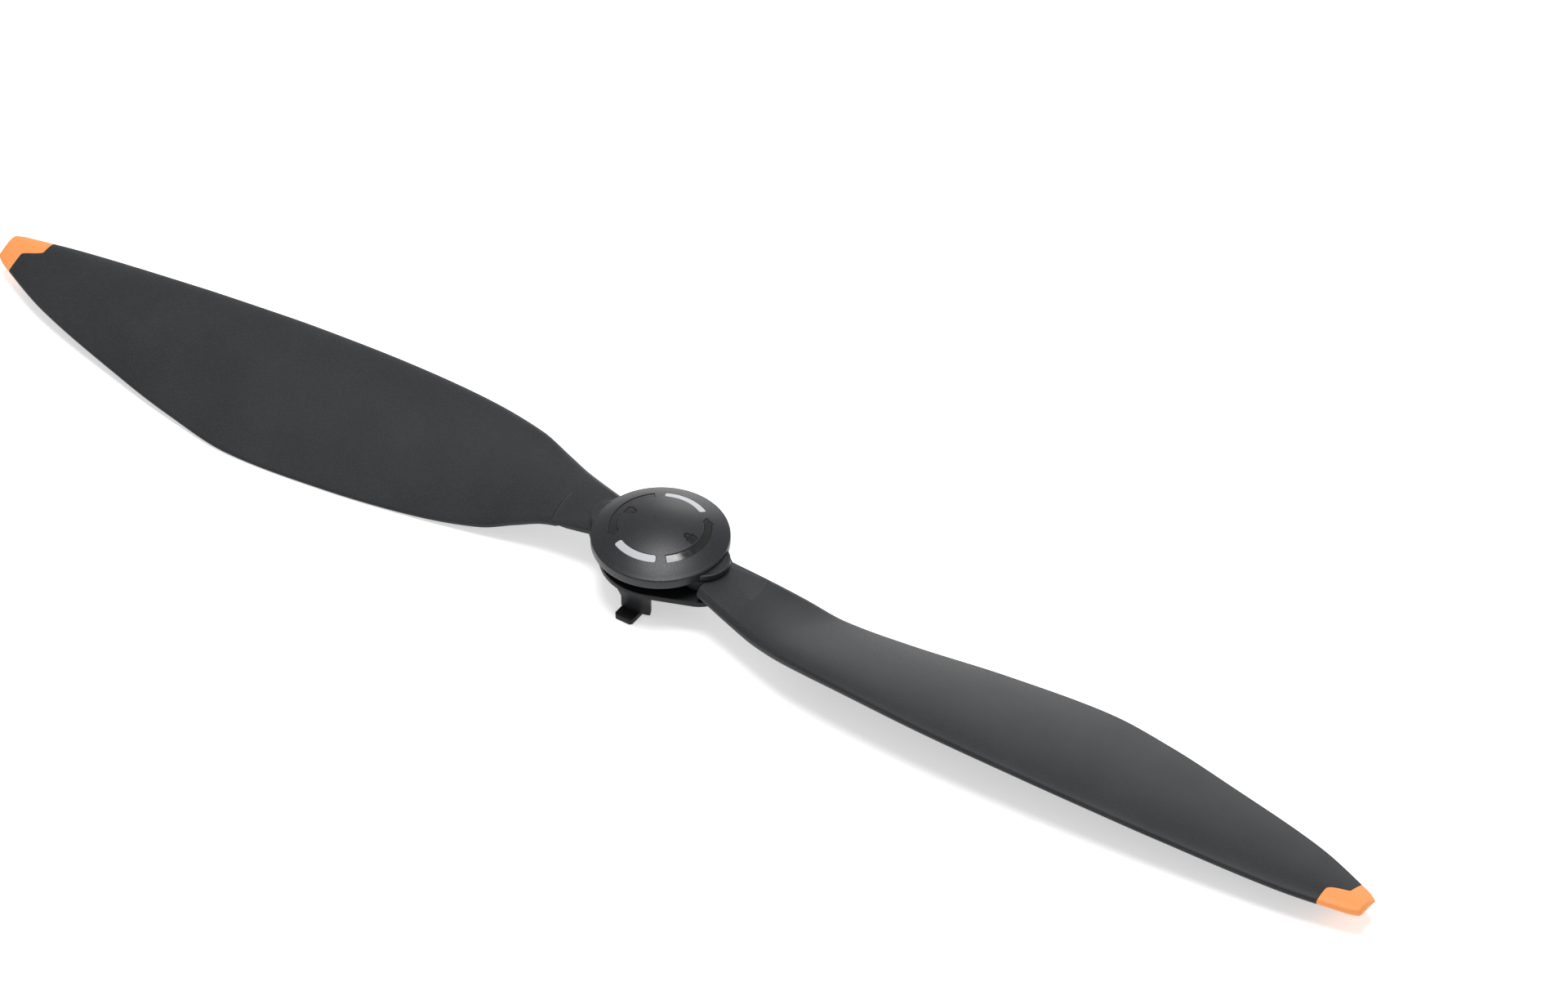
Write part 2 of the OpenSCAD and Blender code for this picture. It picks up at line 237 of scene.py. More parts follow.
# %% Wiring for node trees
class Wiring:
    def __init__(self, tree):
        self.tree = tree

    def node(self, kind, inputs=(), **settings):
        made = self.tree.nodes.new(kind)
        for key, value in settings.items():
            setattr(made, key, value)
        pairs = inputs.items() if isinstance(inputs, dict) else enumerate(inputs)
        for key, value in pairs:
            self.feed(made.inputs[key], value)
        return made

    def feed(self, socket, value):
        if isinstance(value, bpy.types.NodeSocket):
            self.tree.links.new(value, socket)
        elif value is not None:
            socket.default_value = value

    def math(self, operation, a, b=None, c=None, clamp=False):
        node = self.node("ShaderNodeMath", (a, b, c), operation=operation, use_clamp=clamp)
        return node.outputs[0]

    def add(self, a, b):
        return self.math("ADD", a, b)

    def less(self, a, b):
        return self.math("SUBTRACT", a, b)

    def times(self, a, b):
        return self.math("MULTIPLY", a, b)

    def between(self, share, a, b):
        return self.add(self.times(self.less(1.0, share), a), self.times(share, b))

    def mapped(self, value, low, high, to_low, to_high):
        return self.node("ShaderNodeMapRange", {
            "Value": value, "From Min": low, "From Max": high,
            "To Min": to_low, "To Max": to_high}).outputs[0]

    def split(self, vector):
        node = self.node("ShaderNodeSeparateXYZ", (vector,))
        return node.outputs[0], node.outputs[1], node.outputs[2]

    def join(self, x, y, z):
        return self.node("ShaderNodeCombineXYZ", (x, y, z)).outputs[0]


def shape_tree(name, sockets):
    """A Geometry Nodes tree with named inputs, and the group's input and output nodes."""
    tree = bpy.data.node_groups.new(name, "GeometryNodeTree")
    tree.interface.new_socket("Geometry", in_out="OUTPUT", socket_type="NodeSocketGeometry")
    for label, kind in sockets:
        tree.interface.new_socket(label, in_out="INPUT", socket_type=kind)
    start = tree.nodes.new("NodeGroupInput")
    end = tree.nodes.new("NodeGroupOutput")
    return tree, Wiring(tree), start, end


def finished(w, geometry, finish, end):
    """The tree's last two nodes: plain geometry, with its material set."""
    real = w.node("GeometryNodeRealizeInstances", {"Geometry": geometry})
    done = w.node("GeometryNodeSetMaterial", {"Geometry": real.outputs[0], "Material": finish})
    w.feed(end.inputs[0], done.outputs[0])


def grown(name, tree, values):
    """An object whose mesh a tree makes, with the inputs set by their identifiers."""
    piece = bpy.data.objects.new(name, bpy.data.meshes.new(name))
    COLLECTION.objects.link(piece)
    modifier = piece.modifiers.new("shape", "NODES")
    modifier.node_group = tree
    for item in tree.interface.items_tree:
        if item.in_out == "INPUT" and item.name in values:
            modifier[item.identifier] = values[item.name]
    return settle(piece)


# %% [markdown]
# ## Plastic with a moulded grain
# A mould is spark-eroded or etched, so the plastic carries a fine grain that scatters
# its highlights, plus slow changes of tone where the resin flowed. Every edge gets a
# paler line in the colour, which is painted highlight where the edges catch the light,
# and a smoother finish where handling has rubbed the edges. The grain is a Noise and a
# Voronoi texture in Bump, and the same Noise flecks the colour and the roughness. The
# tone is a slow Noise in the colour. The edge line is where a softened normal (the Bevel
# node) leaves the true one. All of it reads Object coordinates in metres.

# %% The plastics
def tone(colour, share):
    return tuple(c * share for c in colour) + (1.0,)


def cloudy(w, fac, colour, dark, light):
    """The colour between a darker and a lighter share, as the noise goes."""
    ramp = w.node("ShaderNodeValToRGB", {"Fac": fac})
    for element, place, share in zip(ramp.color_ramp.elements, (0.3, 0.7), (dark, light)):
        element.position = place
        element.color = tone(colour, share)
    return ramp.outputs["Color"]


# How wide the paler edge line is: painted highlight in the colour, and smoother rubbed plastic in the
# roughness.
rub_and_sheen_w = 0.16 * MM


def plastic(name, colour, grain, relief, rough, rub_and_sheen=0.5, sparkle=0.0, mottle=0.1, shine=0.3,
            coat=0.0):
    material = bpy.data.materials.new(name)
    material.use_nodes = True
    tree = material.node_tree
    shader = tree.nodes["Principled BSDF"]
    w = Wiring(tree)
    place = w.node("ShaderNodeTexCoord").outputs["Object"]
    slow = w.node("ShaderNodeTexNoise", {"Vector": place, "Scale": 90.0, "Detail": 3.0,
                                         "Roughness": 0.55}).outputs["Fac"]
    fine = w.node("ShaderNodeTexNoise", {"Vector": place, "Scale": 0.8 / grain, "Detail": 1.0,
                                         "Roughness": 0.6}).outputs["Fac"]
    cells = w.node("ShaderNodeTexVoronoi", {"Vector": place, "Scale": 1.0 / grain},
                   feature="SMOOTH_F1").outputs["Distance"]
    soft_normal = w.node("ShaderNodeBevel", {"Radius": rub_and_sheen_w}, samples=2).outputs[0]
    true_normal = w.node("ShaderNodeNewGeometry").outputs["Normal"]
    agree = w.node("ShaderNodeVectorMath", (soft_normal, true_normal),
                   operation="DOT_PRODUCT").outputs["Value"]
    # A mask of every edge, inner creases too, where the softened normal leaves the true one. It paints
    # a paler line there as painted highlight, and lowers the roughness as rubbing does.
    edge = w.times(w.mapped(agree, 0.985, 0.8, 0.0, rub_and_sheen), fine)
    clouds = cloudy(w, slow, colour, 1 - 0.5 * mottle, 1 + 0.5 * mottle)
    speck = w.mapped(fine, 0.35, 0.72, 1 - 1.2 * mottle, 1 + 1.2 * mottle + sparkle)
    grained = w.node("ShaderNodeVectorMath", {0: clouds, 3: speck},
                     operation="SCALE").outputs[0]
    # This mix paints the paler line into the colour along the edges: painted highlight.
    painted_edge_sheen = w.node("ShaderNodeMix", {"Factor": edge}, data_type="RGBA")
    w.feed(painted_edge_sheen.inputs[6], grained)
    w.feed(painted_edge_sheen.inputs[7], tuple(min(1.0, 0.05 + 1.5 * c) for c in colour) + (1.0,))
    w.feed(shader.inputs["Base Color"], painted_edge_sheen.outputs[2])
    dull = w.mapped(fine, 0.3, 0.7, rough - 0.06, rough + 0.08)
    w.feed(shader.inputs["Roughness"], w.less(dull, w.times(edge, 0.2)))
    height = w.add(w.times(cells, 0.6), fine)
    bump = w.node("ShaderNodeBump", {"Strength": 1.0, "Distance": relief, "Height": height})
    w.feed(shader.inputs["Normal"], bump.outputs[0])
    shader.inputs["Specular IOR Level"].default_value = shine
    shader.inputs["Coat Weight"].default_value = coat
    shader.inputs["Coat Roughness"].default_value = 0.12
    return material


def linear(*srgb):
    """The shader's linear colour for one written on the usual 0 to 255 scale."""
    return tuple(((v / 255 + 0.055) / 1.055) ** 2.4 if v > 10 else v / 3295 for v in srgb)


blade_plastic = plastic("Blade plastic", linear(45, 46, 48), 0.15 * MM, 0.006 * MM, 0.5,
                        mottle=0.2, shine=0.18)
cap_plastic = plastic("Cap plastic", linear(33, 34, 37), 0.13 * MM, 0.012 * MM, 0.38,
                      rub_and_sheen=0.6, sparkle=0.3, shine=0.36)
base_plastic = plastic("Base plastic", linear(24, 25, 27), 0.18 * MM, 0.008 * MM, 0.5,
                       shine=0.2)
tip_plastic = plastic("Tip plastic", linear(238, 150, 84), 0.18 * MM, 0.004 * MM, 0.5,
                      rub_and_sheen=0.25, mottle=0.03)
grey_inlay = plastic("Grey inlay", linear(182, 183, 187), 0.15 * MM, 0.003 * MM, 0.45,
                     rub_and_sheen=0.2, mottle=0.03)
gloss_inlay = plastic("Gloss inlay", linear(14, 14, 16), 0.9 * MM, 0.002 * MM, 0.16,
                      rub_and_sheen=0.5, mottle=0.1, shine=0.5, coat=0.3)
film_plastic = plastic("Washer film", linear(190, 187, 176), 0.35 * MM, 0.004 * MM, 0.4,
                       rub_and_sheen=0.2, mottle=0.05)
print("plastics", [m.name for m in bpy.data.materials])

# %% [markdown]
# ## Turned steel
# A lathe leaves fine rings, so the steel's roughness and bump follow a Wave texture
# along Z, which is the axis of every turned piece here. Plating adds cloudy patches,
# which are a Noise in the colour.

# %% The metals
def steel(name, colour, rough):
    material = bpy.data.materials.new(name)
    material.use_nodes = True
    tree = material.node_tree
    shader = tree.nodes["Principled BSDF"]
    w = Wiring(tree)
    place = w.node("ShaderNodeTexCoord").outputs["Object"]
    clouds = w.node("ShaderNodeTexNoise", {"Vector": place, "Scale": 900.0,
                                           "Detail": 4.0}).outputs["Fac"]
    rings = w.node("ShaderNodeTexWave", {"Vector": place, "Scale": 2600.0, "Distortion": 1.2,
                                         "Detail": 2.0}, bands_direction="Z").outputs["Fac"]
    w.feed(shader.inputs["Base Color"], cloudy(w, clouds, colour, 0.75, 1.15))
    w.feed(shader.inputs["Roughness"], w.add(w.times(rings, 0.12), rough))
    bump = w.node("ShaderNodeBump", {"Strength": 0.6, "Distance": 0.002 * MM, "Height": rings})
    w.feed(shader.inputs["Normal"], bump.outputs[0])
    shader.inputs["Metallic"].default_value = 1.0
    return material


sleeve_steel = steel("Turned steel", linear(196, 198, 202), 0.24)
screw_steel = steel("Black zinc plate", linear(98, 98, 102), 0.32)
print("metals ready")

# %% [markdown]
# ## The blade's rule
# A blade is a row of aerofoil sections on a curved planform. Each row of the table is
# one station: its share of the span, how far the leading and trailing edges lie from
# the blade's axis, how high both edges lie over the hinge, how thick the section is,
# and how far it has turned from the root's flat slab into an aerofoil. Cubic curves
# run through the rows, so the rule gives a section at any place along the blade.

# %% Stations along the blade
blade_t = 2.9 * MM
edge_t = 0.5 * MM
camber = 0.045
knuckle_h = 2.1 * MM
KNUCKLE = knuckle_r / MM
STATIONS = np.array([
    [0, KNUCKLE + 1.6, 1.1 - KNUCKLE, 0, 0, knuckle_h / blade_t, 0],
    [0.07, 8.8, -4.5, -0.65, -1.5, 0.79, 0.42],
    [0.11, 10.4, -5.75, -0.45, -3.4, 0.9, 0.64],
    [0.16, 12, -7.35, 0.4, -6, 1, 0.8],
    [0.25, 13.1, -10, 1, -7.5, 0.92, 0.95],
    [0.38, 13.5, -13, 0.7, -7.8, 0.82, 1],
    [0.53, 12.9, -14.8, 0, -7.7, 0.72, 1],
    [0.63, 12.1, -13.2, -0.7, -7.1, 0.66, 1],
    [0.72, 11.2, -10.8, -1.4, -6.6, 0.6, 1],
    [0.89, 8.9, -5.2, -2.8, -5.2, 0.5, 1],
    [1, 6.2, 0.7, -3.4, -4.2, 0.42, 1],
])


def along_span(shares):
    """Each column of the table at these shares of the span, by cubic curves."""
    span = STATIONS[:, 0]
    rows = np.arange(len(span))
    before = np.maximum(rows - 1, 0)
    after = np.minimum(rows + 1, len(span) - 1)
    slopes = (STATIONS[after] - STATIONS[before]) / (span[after] - span[before])[:, None]
    at = np.clip(np.searchsorted(span, shares, side="right") - 1, 0, len(span) - 2)
    h = (span[at + 1] - span[at])[:, None]
    u = ((shares - span[at]) / h[:, 0])[:, None]
    made = STATIONS[at] * (1 + 2 * u) * (1 - u) ** 2 + STATIONS[at + 1] * u**2 * (3 - 2 * u)
    return made + h * (slopes[at] * u * (1 - u) ** 2 + slopes[at + 1] * u**2 * (u - 1))


guide_rows = 700
guide = along_span(np.linspace(0, 1, guide_rows))
guide[:, 1:5] *= MM
print("widest chord", round(float((guide[:, 1] - guide[:, 2]).max()) / MM, 2), "mm")

# %% [markdown]
# The rule goes to Geometry Nodes as a guide: a mesh of loose points, one for each of
# many places along the span, with the columns held in two vector attributes. A tree
# reads them back with Sample Index, which is how a table is looked up in nodes.

# %% The guide as an object
def guide_object(name, table):
    mesh = bpy.data.meshes.new(name)
    mesh.from_pydata([(row[0], 0, 0) for row in table], [], [])
    planform = mesh.attributes.new("planform", "FLOAT_VECTOR", "POINT")
    planform.data.foreach_set("vector", table[:, [1, 2, 5]].astype(np.float32).ravel())
    lift = mesh.attributes.new("lift", "FLOAT_VECTOR", "POINT")
    lift.data.foreach_set("vector", table[:, [3, 4, 6]].astype(np.float32).ravel())
    made = bpy.data.objects.new(name, mesh)
    COLLECTION.objects.link(made)
    return made


stations = guide_object("station_guide", guide)
print("guide points", len(stations.data.vertices))

# %% [markdown]
# ## The blade as a loft in Geometry Nodes
# A Grid is bent round the sections: its X runs along the span and its Y once round the
# section, over the top and back underneath. The coloured tip is the same loft with
# other ends, so one tree makes both, and their shared end follows one soft step. The
# first and last rows collapse onto the section's middle line, which closes the ends.

# %% The loft's tree
tip_len = 5.5 * MM
tip_step = 3.4 * MM
step_from = 0.3
step_over = 0.28
lean = 0.15 * MM
root_crispness = 16.0
facet_w = 0.9 * MM
facet_slope = 0.8
seam_w = 0.1 * MM
corner_len = 2.4 * MM
corner_in = 0.5 * MM
nose_rate = 8.0
tail_rate = 12.0
FOIL_ROOT = 0.2969
FOIL_POWERS = ((1, -0.126), (2, -0.3516), (3, 0.2843), (4, -0.1015))
LOFT_SOCKETS = [
    ("Stations", "NodeSocketObject"), ("Ribs", "NodeSocketInt"), ("Round", "NodeSocketInt"),
    ("Start", "NodeSocketFloat"), ("End", "NodeSocketFloat"),
    ("Start Step", "NodeSocketFloat"), ("End Step", "NodeSocketFloat"),
    ("Groove", "NodeSocketFloat"), ("End Round", "NodeSocketFloat"),
    ("Finish", "NodeSocketMaterial"),
]


def loft_tree():
    tree, w, given, end = shape_tree("Blade loft", LOFT_SOCKETS)
    g = given.outputs
    grid = w.node("GeometryNodeMeshGrid", {"Size X": 1.0, "Size Y": 1.0,
                                           "Vertices X": g["Ribs"], "Vertices Y": g["Round"]})
    gx, gy, _ = w.split(w.node("GeometryNodeInputPosition").outputs[0])
    rows = w.less(g["Ribs"], 1.0)
    row = w.times(w.add(gx, 0.5), rows)
    first = w.math("LESS_THAN", row, 1.5)
    last = w.math("GREATER_THAN", row, w.less(rows, 1.5))
    closing = w.math("MULTIPLY", w.math("GREATER_THAN", row, 0.5),
                     w.math("LESS_THAN", row, w.less(rows, 0.5)))
    seam = w.math("DIVIDE", seam_w, w.less(g["End"], g["Start"]))
    inner = w.math("DIVIDE", w.less(row, 2.0), w.less(rows, 4.0), clamp=True)
    inner = w.between(inner, seam, w.less(1.0, seam))
    inner = w.add(w.times(inner, w.less(1.0, w.add(first, last))), last)
    turn = w.times(w.add(gy, 0.5), 2 * math.pi)
    s = w.times(w.less(1.0, w.math("COSINE", turn)), 0.5)
    side = w.math("SIGN", w.math("SINE", turn))
    u = w.math("DIVIDE", w.less(s, step_from), step_over, clamp=True)
    soft = w.times(w.times(u, u), w.less(3.0, w.times(u, 2.0)))
    from_middle = w.math("ABSOLUTE", w.less(w.times(s, 2.0), 1.0))
    shift = w.less(w.times(w.less(soft, 0.5), tip_step), w.times(w.less(1.0, from_middle), lean))
    start_x = w.add(g["Start"], w.times(shift, g["Start Step"]))
    end_x = w.add(g["End"], w.times(shift, g["End Step"]))
    x = w.between(inner, start_x, end_x)
    share = w.math("DIVIDE", w.less(x, root_x), prop_r - root_x)
    at = w.times(share, guide_rows - 1.0)
    low_row = w.math("MINIMUM", w.math("FLOOR", at), guide_rows - 2.0)
    part = w.less(at, low_row)
    info = w.node("GeometryNodeObjectInfo", {"Object": g["Stations"]}).outputs["Geometry"]

    def column(label, index):
        named = w.node("GeometryNodeInputNamedAttribute", {"Name": label},
                       data_type="FLOAT_VECTOR").outputs[0]
        return w.node("GeometryNodeSampleIndex", {"Geometry": info, "Value": named,
                                                  "Index": index},
                      data_type="FLOAT_VECTOR", domain="POINT").outputs[0]

    def blended(label):
        first = w.split(column(label, low_row))
        second = w.split(column(label, w.add(low_row, 1.0)))
        return [w.between(part, a, b) for a, b in zip(first, second)]

    lead, trail, thick = blended("planform")
    nearing = w.math("DIVIDE", w.less(corner_len, w.less(prop_r, x)), corner_len, clamp=True)
    bend = w.times(w.times(nearing, nearing), corner_in)
    lead = w.less(lead, bend)
    trail = w.add(trail, bend)
    rise_lead, rise_trail, foil = blended("lift")
    chord = w.less(lead, trail)
    t = w.times(thick, blade_t)
    slab = w.math("POWER", w.math("ABSOLUTE", w.less(w.times(s, 2.0), 1.0)), root_crispness)
    slab = w.times(w.math("POWER", w.math("MAXIMUM", w.less(1.0, slab), 0.0), 1 / root_crispness), 0.5)
    root_s = w.math("SQRT", w.math("MAXIMUM", s, 0.0))
    naca = w.times(root_s, FOIL_ROOT)
    for power, factor in FOIL_POWERS:
        naca = w.add(naca, w.times(w.math("POWER", s, float(power)), factor))
    lead_cap = w.math("MINIMUM", w.times(root_s, nose_rate), 1.0)
    trail_cap = w.math("SQRT", w.math("MAXIMUM", w.less(1.0, s), 0.0))
    trail_cap = w.math("MINIMUM", w.times(trail_cap, tail_rate), 1.0)
    thin = w.times(w.times(lead_cap, trail_cap), edge_t / 2)
    wing = w.add(w.times(w.times(naca, 5.0), t), thin)
    inboard = w.times(w.math("MINIMUM", s, w.less(1.0, s)), chord)
    slope = w.times(w.math("MAXIMUM", w.less(facet_w, inboard), 0.0), facet_slope)
    slab = w.math("MINIMUM", w.times(slab, t), w.less(w.times(t, 0.5), slope))
    half = w.between(foil, slab, wing)
    to_end = w.math("DIVIDE", w.less(g["End Round"], w.less(prop_r, x)), g["End Round"], clamp=True)
    half = w.times(half, w.math("SQRT", w.math("MAXIMUM", w.less(1.0, w.times(to_end, to_end)), 0.0)))
    near_start = w.math("DIVIDE", w.math("ABSOLUTE", w.less(x, start_x)), seam_w, clamp=True)
    near_end = w.math("DIVIDE", w.math("ABSOLUTE", w.less(x, end_x)), seam_w, clamp=True)
    dip = w.add(w.times(w.less(1.0, near_start), g["Start Step"]),
                w.times(w.less(1.0, near_end), g["End Step"]))
    half = w.math("MAXIMUM", w.less(half, w.times(dip, g["Groove"])), 0.0)
    half = w.times(half, closing)
    bow = w.times(w.times(w.times(s, w.less(1.0, s)), 4 * camber), w.times(chord, foil))
    middle = w.add(w.add(w.between(s, rise_lead, rise_trail), bow), hinge.z)
    y = w.times(w.between(s, lead, trail), -1.0)
    z = w.add(middle, w.times(side, half))
    bent = w.node("GeometryNodeSetPosition", {"Geometry": grid.outputs["Mesh"],
                                              "Position": w.join(x, y, z)})
    welded = w.node("GeometryNodeMergeByDistance", {"Geometry": bent.outputs[0],
                                                    "Distance": 0.002 * MM})
    finished(w, welded.outputs[0], g["Finish"], end)
    return tree


blade_loft = loft_tree()
print("loft nodes", len(blade_loft.nodes))

# %% [markdown]
# The blade runs from its root to the soft step and the tip from there to the end. Both
# skins dip a little where they meet, as two shots of plastic do in one mould.

# %% Loft the blade and its tip
split_x = prop_r - tip_len
groove = 0.09 * MM
common = {"Stations": stations, "Round": 97, "Groove": groove}
blade_a = grown("blade_a_skin", blade_loft, {
    **common, "Ribs": 230, "Start": root_x, "End": split_x, "Start Step": 0.0,
    "End Step": 1.0, "End Round": 0.01 * MM, "Finish": blade_plastic})
tip_a = grown("tip_a_skin", blade_loft, {
    **common, "Ribs": 40, "Start": split_x, "End": prop_r, "Start Step": 1.0,
    "End Step": 0.0, "End Round": 0.45 * MM, "Finish": tip_plastic})
print("blade faces", len(blade_a.data.polygons), "tip faces", len(tip_a.data.polygons))

# %% [markdown]
# ## Outlines and stacks
# The base plate's outline is the tight band round three circles: the plate's middle
# and a lobe under each hinge. For any direction, the circle that reaches furthest
# gives the point, so every inset has the same count of points. `stacked` joins such
# loops at different heights into one closed solid, with soft edges from `rounded`.

# %% Base outline and stacked solids
base_r = 10.4 * MM
lobe_reach = 3.9 * MM
lobe_r = base_high.x - pivot_x
lobe_shift = lobe_reach - lobe_r


def base_outline(inset, steps=288):
    circles = ((0, 0, base_r), (pivot_x, lobe_shift, lobe_r), (-pivot_x, -lobe_shift, lobe_r))
    loop = []
    for k in range(steps):
        angle = 2 * math.pi * (k + 0.5) / steps
        c, s = math.cos(angle), math.sin(angle)
        x, y, r = max(circles, key=lambda o: o[0] * c + o[1] * s + o[2])
        loop.append((x + (r - inset) * c, y + (r - inset) * s))
    return loop


def stacked(name, layers):
    """layers is a list of (loop, height); every loop has the same count of points."""
    count = len(layers[0][0])
    points = [(x, y, z) for loop, z in layers for x, y in loop]
    faces = band_faces(len(layers), count)
    faces.append(list(range(count))[::-1])
    faces.append(list(range((len(layers) - 1) * count, len(layers) * count)))
    return solid(name, points, faces)


print("base outline", len(base_outline(0)), "points")

# %% [markdown]
# ## The blade's root
# The root turns between the cap and the base plate, so both have to be cut out of it
# over the whole swing: a round flat on top, with a soft edge that catches the light,
# and the base plate's shape below. The flat's outer part tilts with the blade, and the
# room for the plate's lobe ends in a ramp. The round end carries the bore for the
# sleeve. It could be modelled face by face, but a few turned cutters and Boolean
# modifiers give the same clean arcs that the mould's inserts leave.

# %% Shape the blade's root
side_gap = 0.35 * MM
face_gap = 0.05 * MM
recess_r = 11.3 * MM
recess_soft = 0.5 * MM
root_soft = 0.2 * MM
swing_soft = 0.3 * MM
bore_soft = 0.15 * MM
flat_along = math.radians(8.5)
flat_across = math.radians(-10)
flat_from = 3.6 * MM
flat_rise = flat_from * math.tan(flat_along)
knuckle_low = washer_high.z + face_gap
knuckle_high = knuckle_low + knuckle_h
far = 14 * MM
ramp = 2.4 * MM
here = (pivot_x, 0)


def top_cutter(name, centre, radius, soft):
    return turned(name, rounded([(0, knuckle_high), (radius, knuckle_high),
                                 (radius + soft, knuckle_high + far), (0, knuckle_high + far)],
                                soft), centre, steps=180)


knuckle = turned("knuckle", rounded([(0, knuckle_low), (knuckle_r, knuckle_low),
                                     (knuckle_r, knuckle_high), (0, knuckle_high)], root_soft),
                 here, steps=144)
combine(blade_a, [knuckle], "UNION")
cutters = [top_cutter("recess", here, recess_r, recess_soft)]
low_flat = turned("low_flat", rounded([
    (0, 0), (recess_r, 0), (recess_r + recess_soft, far), (0, far)], recess_soft), steps=180)
low_flat.data.transform(Matrix.Translation((pivot_x, 0, knuckle_high + flat_rise))
                        @ Matrix.Rotation(flat_along, 4, "Y")
                        @ Matrix.Rotation(flat_across, 4, "X"))
cutters.append(low_flat)
for turn in (-1, 1):
    cutters.append(top_cutter("cap_swing", (pivot_x, turn * pivot_x), hub_r + side_gap,
                              swing_soft))
    swung = [(pivot_x - turn * y, turn * (x - pivot_x)) for x, y in base_outline(-side_gap)]
    cutters.append(stacked("base_swing", [(swung, knuckle_low - far), (swung, knuckle_low)]))
room_r = lobe_r - lobe_shift + side_gap
cutters.append(turned("lobe_room", [
    (0, knuckle_low - far), (room_r + ramp, knuckle_low - far),
    (room_r + ramp, knuckle_low - ramp), (room_r, knuckle_low), (0, knuckle_low)],
    here, steps=144))
bore_r = sleeve_r + face_gap
bore_mouth = bore_r + bore_soft + hair
bore = [(0, knuckle_low - hair), (bore_mouth, knuckle_low - hair),
        (bore_r, knuckle_low + bore_soft), (bore_r, knuckle_high - bore_soft),
        (bore_mouth, knuckle_high + hair), (0, knuckle_high + hair)]
cutters.append(turned("bore", bore, here, steps=96))
combine(blade_a, cutters, "DIFFERENCE")
clean(blade_a)
clean(tip_a, crease=40)
print("blade after its cuts", len(blade_a.data.polygons), "faces")

# %% [markdown]
# ## The second blade
# Blade B is blade A after half a turn about the hub. The turn goes into the mesh and
# not the object, because a finished piece keeps its object at the origin, unturned.

# %% Turn a copy of the blade
HALF_TURN = Matrix.Rotation(math.pi, 4, "Z")


def turned_copy(piece, name):
    copy = bpy.data.objects.new(name, piece.data.copy())
    copy.data.transform(HALF_TURN)
    COLLECTION.objects.link(copy)
    return copy


blade_b = turned_copy(blade_a, "blade_b_skin")
tip_b = turned_copy(tip_a, "tip_b_skin")
print("second blade from", round(blade_b.bound_box[0][0] / MM, 1), "mm")

# %% [markdown]
# ## The cap's dome and its marks
# The cap is a shallow dome. Two grey arcs, two glossy arrows and two padlocks are let
# into it, in a ring. The arrows show which way to turn the hub to lock it. A Boolean
# would leave ragged slivers on a dome this smooth, so the marks' outlines are drawn
# first in the flat, and a Delaunay triangulation joins them with a round grid of
# points. Then each point gets its height: on the dome, on a pocket's soft edge or on
# its floor. Depth is the only thing that differs between them.

# %% The dome and the outlines of the marks
cap_wall = 1.7 * MM
crease_z = gap_top + cap_wall
dome_h = cap_top - crease_z
edge_in = 0.1 * MM
dome_r = ((hub_r - edge_in) ** 2 + dome_h**2) / (2 * dome_h)
ring_r = 8.6 * MM
ring_w = 1.35 * MM
ring_in = ring_r - ring_w
grey_half = 29
arrow_half = 49
head_angle = 9
head_extra = 0.35 * MM
corner_r = 0.4 * MM


def dome_at(radius, depth=0.0):
    inner = dome_r - depth
    return cap_top - dome_r + math.sqrt(max(inner**2 - radius**2, 0.0))


def polar(radius, degrees):
    angle = math.radians(degrees)
    return Vector((radius * math.cos(angle), radius * math.sin(angle)))


def arc(centre, radius, start, stop, steps):
    return [centre + polar(radius, start + (stop - start) * k / steps) for k in range(steps + 1)]


def grey_outline():
    mid = 90
    origin = Vector((0, 0))
    turn_in = math.degrees(math.asin(corner_r / (ring_in + corner_r)))
    turn_out = math.degrees(math.asin(corner_r / (ring_r - corner_r)))
    low = mid - grey_half
    high = mid + grey_half
    loop = arc(origin, ring_r, low + turn_out, high - turn_out, 60)
    loop += arc(polar(ring_r - corner_r, high - turn_out), corner_r, high - turn_out, high + 90, 6)
    loop += arc(polar(ring_in + corner_r, high - turn_in), corner_r, high + 90, high + 180, 6)
    loop += arc(origin, ring_in, high - turn_in, low + turn_in, 50)
    loop += arc(polar(ring_in + corner_r, low + turn_in), corner_r, low - 180, low - 90, 6)
    loop += arc(polar(ring_r - corner_r, low + turn_out), corner_r, low - 90, low + turn_out, 6)
    return loop


def arrow_outline():
    neck = arrow_half - head_angle
    origin = Vector((0, 0))
    loop = arc(origin, ring_r, -arrow_half, neck, 84)
    loop += [polar(ring_r + head_extra, neck), polar((ring_in + ring_r) / 2, arrow_half),
             polar(ring_in - head_extra, neck)]
    loop += arc(origin, ring_in, neck, -arrow_half, 72)
    return loop


lock_gap = 1.25 * MM
lock_x = ring_in - lock_gap
lock_half = 0.95 * MM
shackle_r = 0.64 * lock_half
eye_r = 0.3 * lock_half
lock_soft = 0.2 * MM
lock_back = lock_x - 0.2 * MM
shackle_x = lock_x - 0.55 * MM
eye_x = lock_x - 0.5 * MM


def padlock_outline():
    front = lock_x + lock_half - lock_soft
    side = lock_half - lock_soft
    loop = arc(Vector((front, -side)), lock_soft, -90, 0, 4)
    loop += arc(Vector((front, side)), lock_soft, 0, 90, 4)
    loop += [Vector((lock_back, lock_half)), Vector((lock_back, shackle_r))]
    loop += arc(Vector((shackle_x, 0)), shackle_r, 90, 270, 14)
    loop += [Vector((lock_back, -shackle_r)), Vector((lock_back, -lock_half))]
    return loop


def padlock_eye():
    return arc(Vector((eye_x, 0)), eye_r, 360, 15, 23)


def half_turned(loop):
    return [-p for p in loop]


def tidy_loop(loop, least=0.02 * MM):
    kept = []
    for p in loop:
        if not kept or (p - kept[-1]).length > least:
            kept.append(p)
    if (kept[0] - kept[-1]).length <= least:
        kept.pop()
    return kept


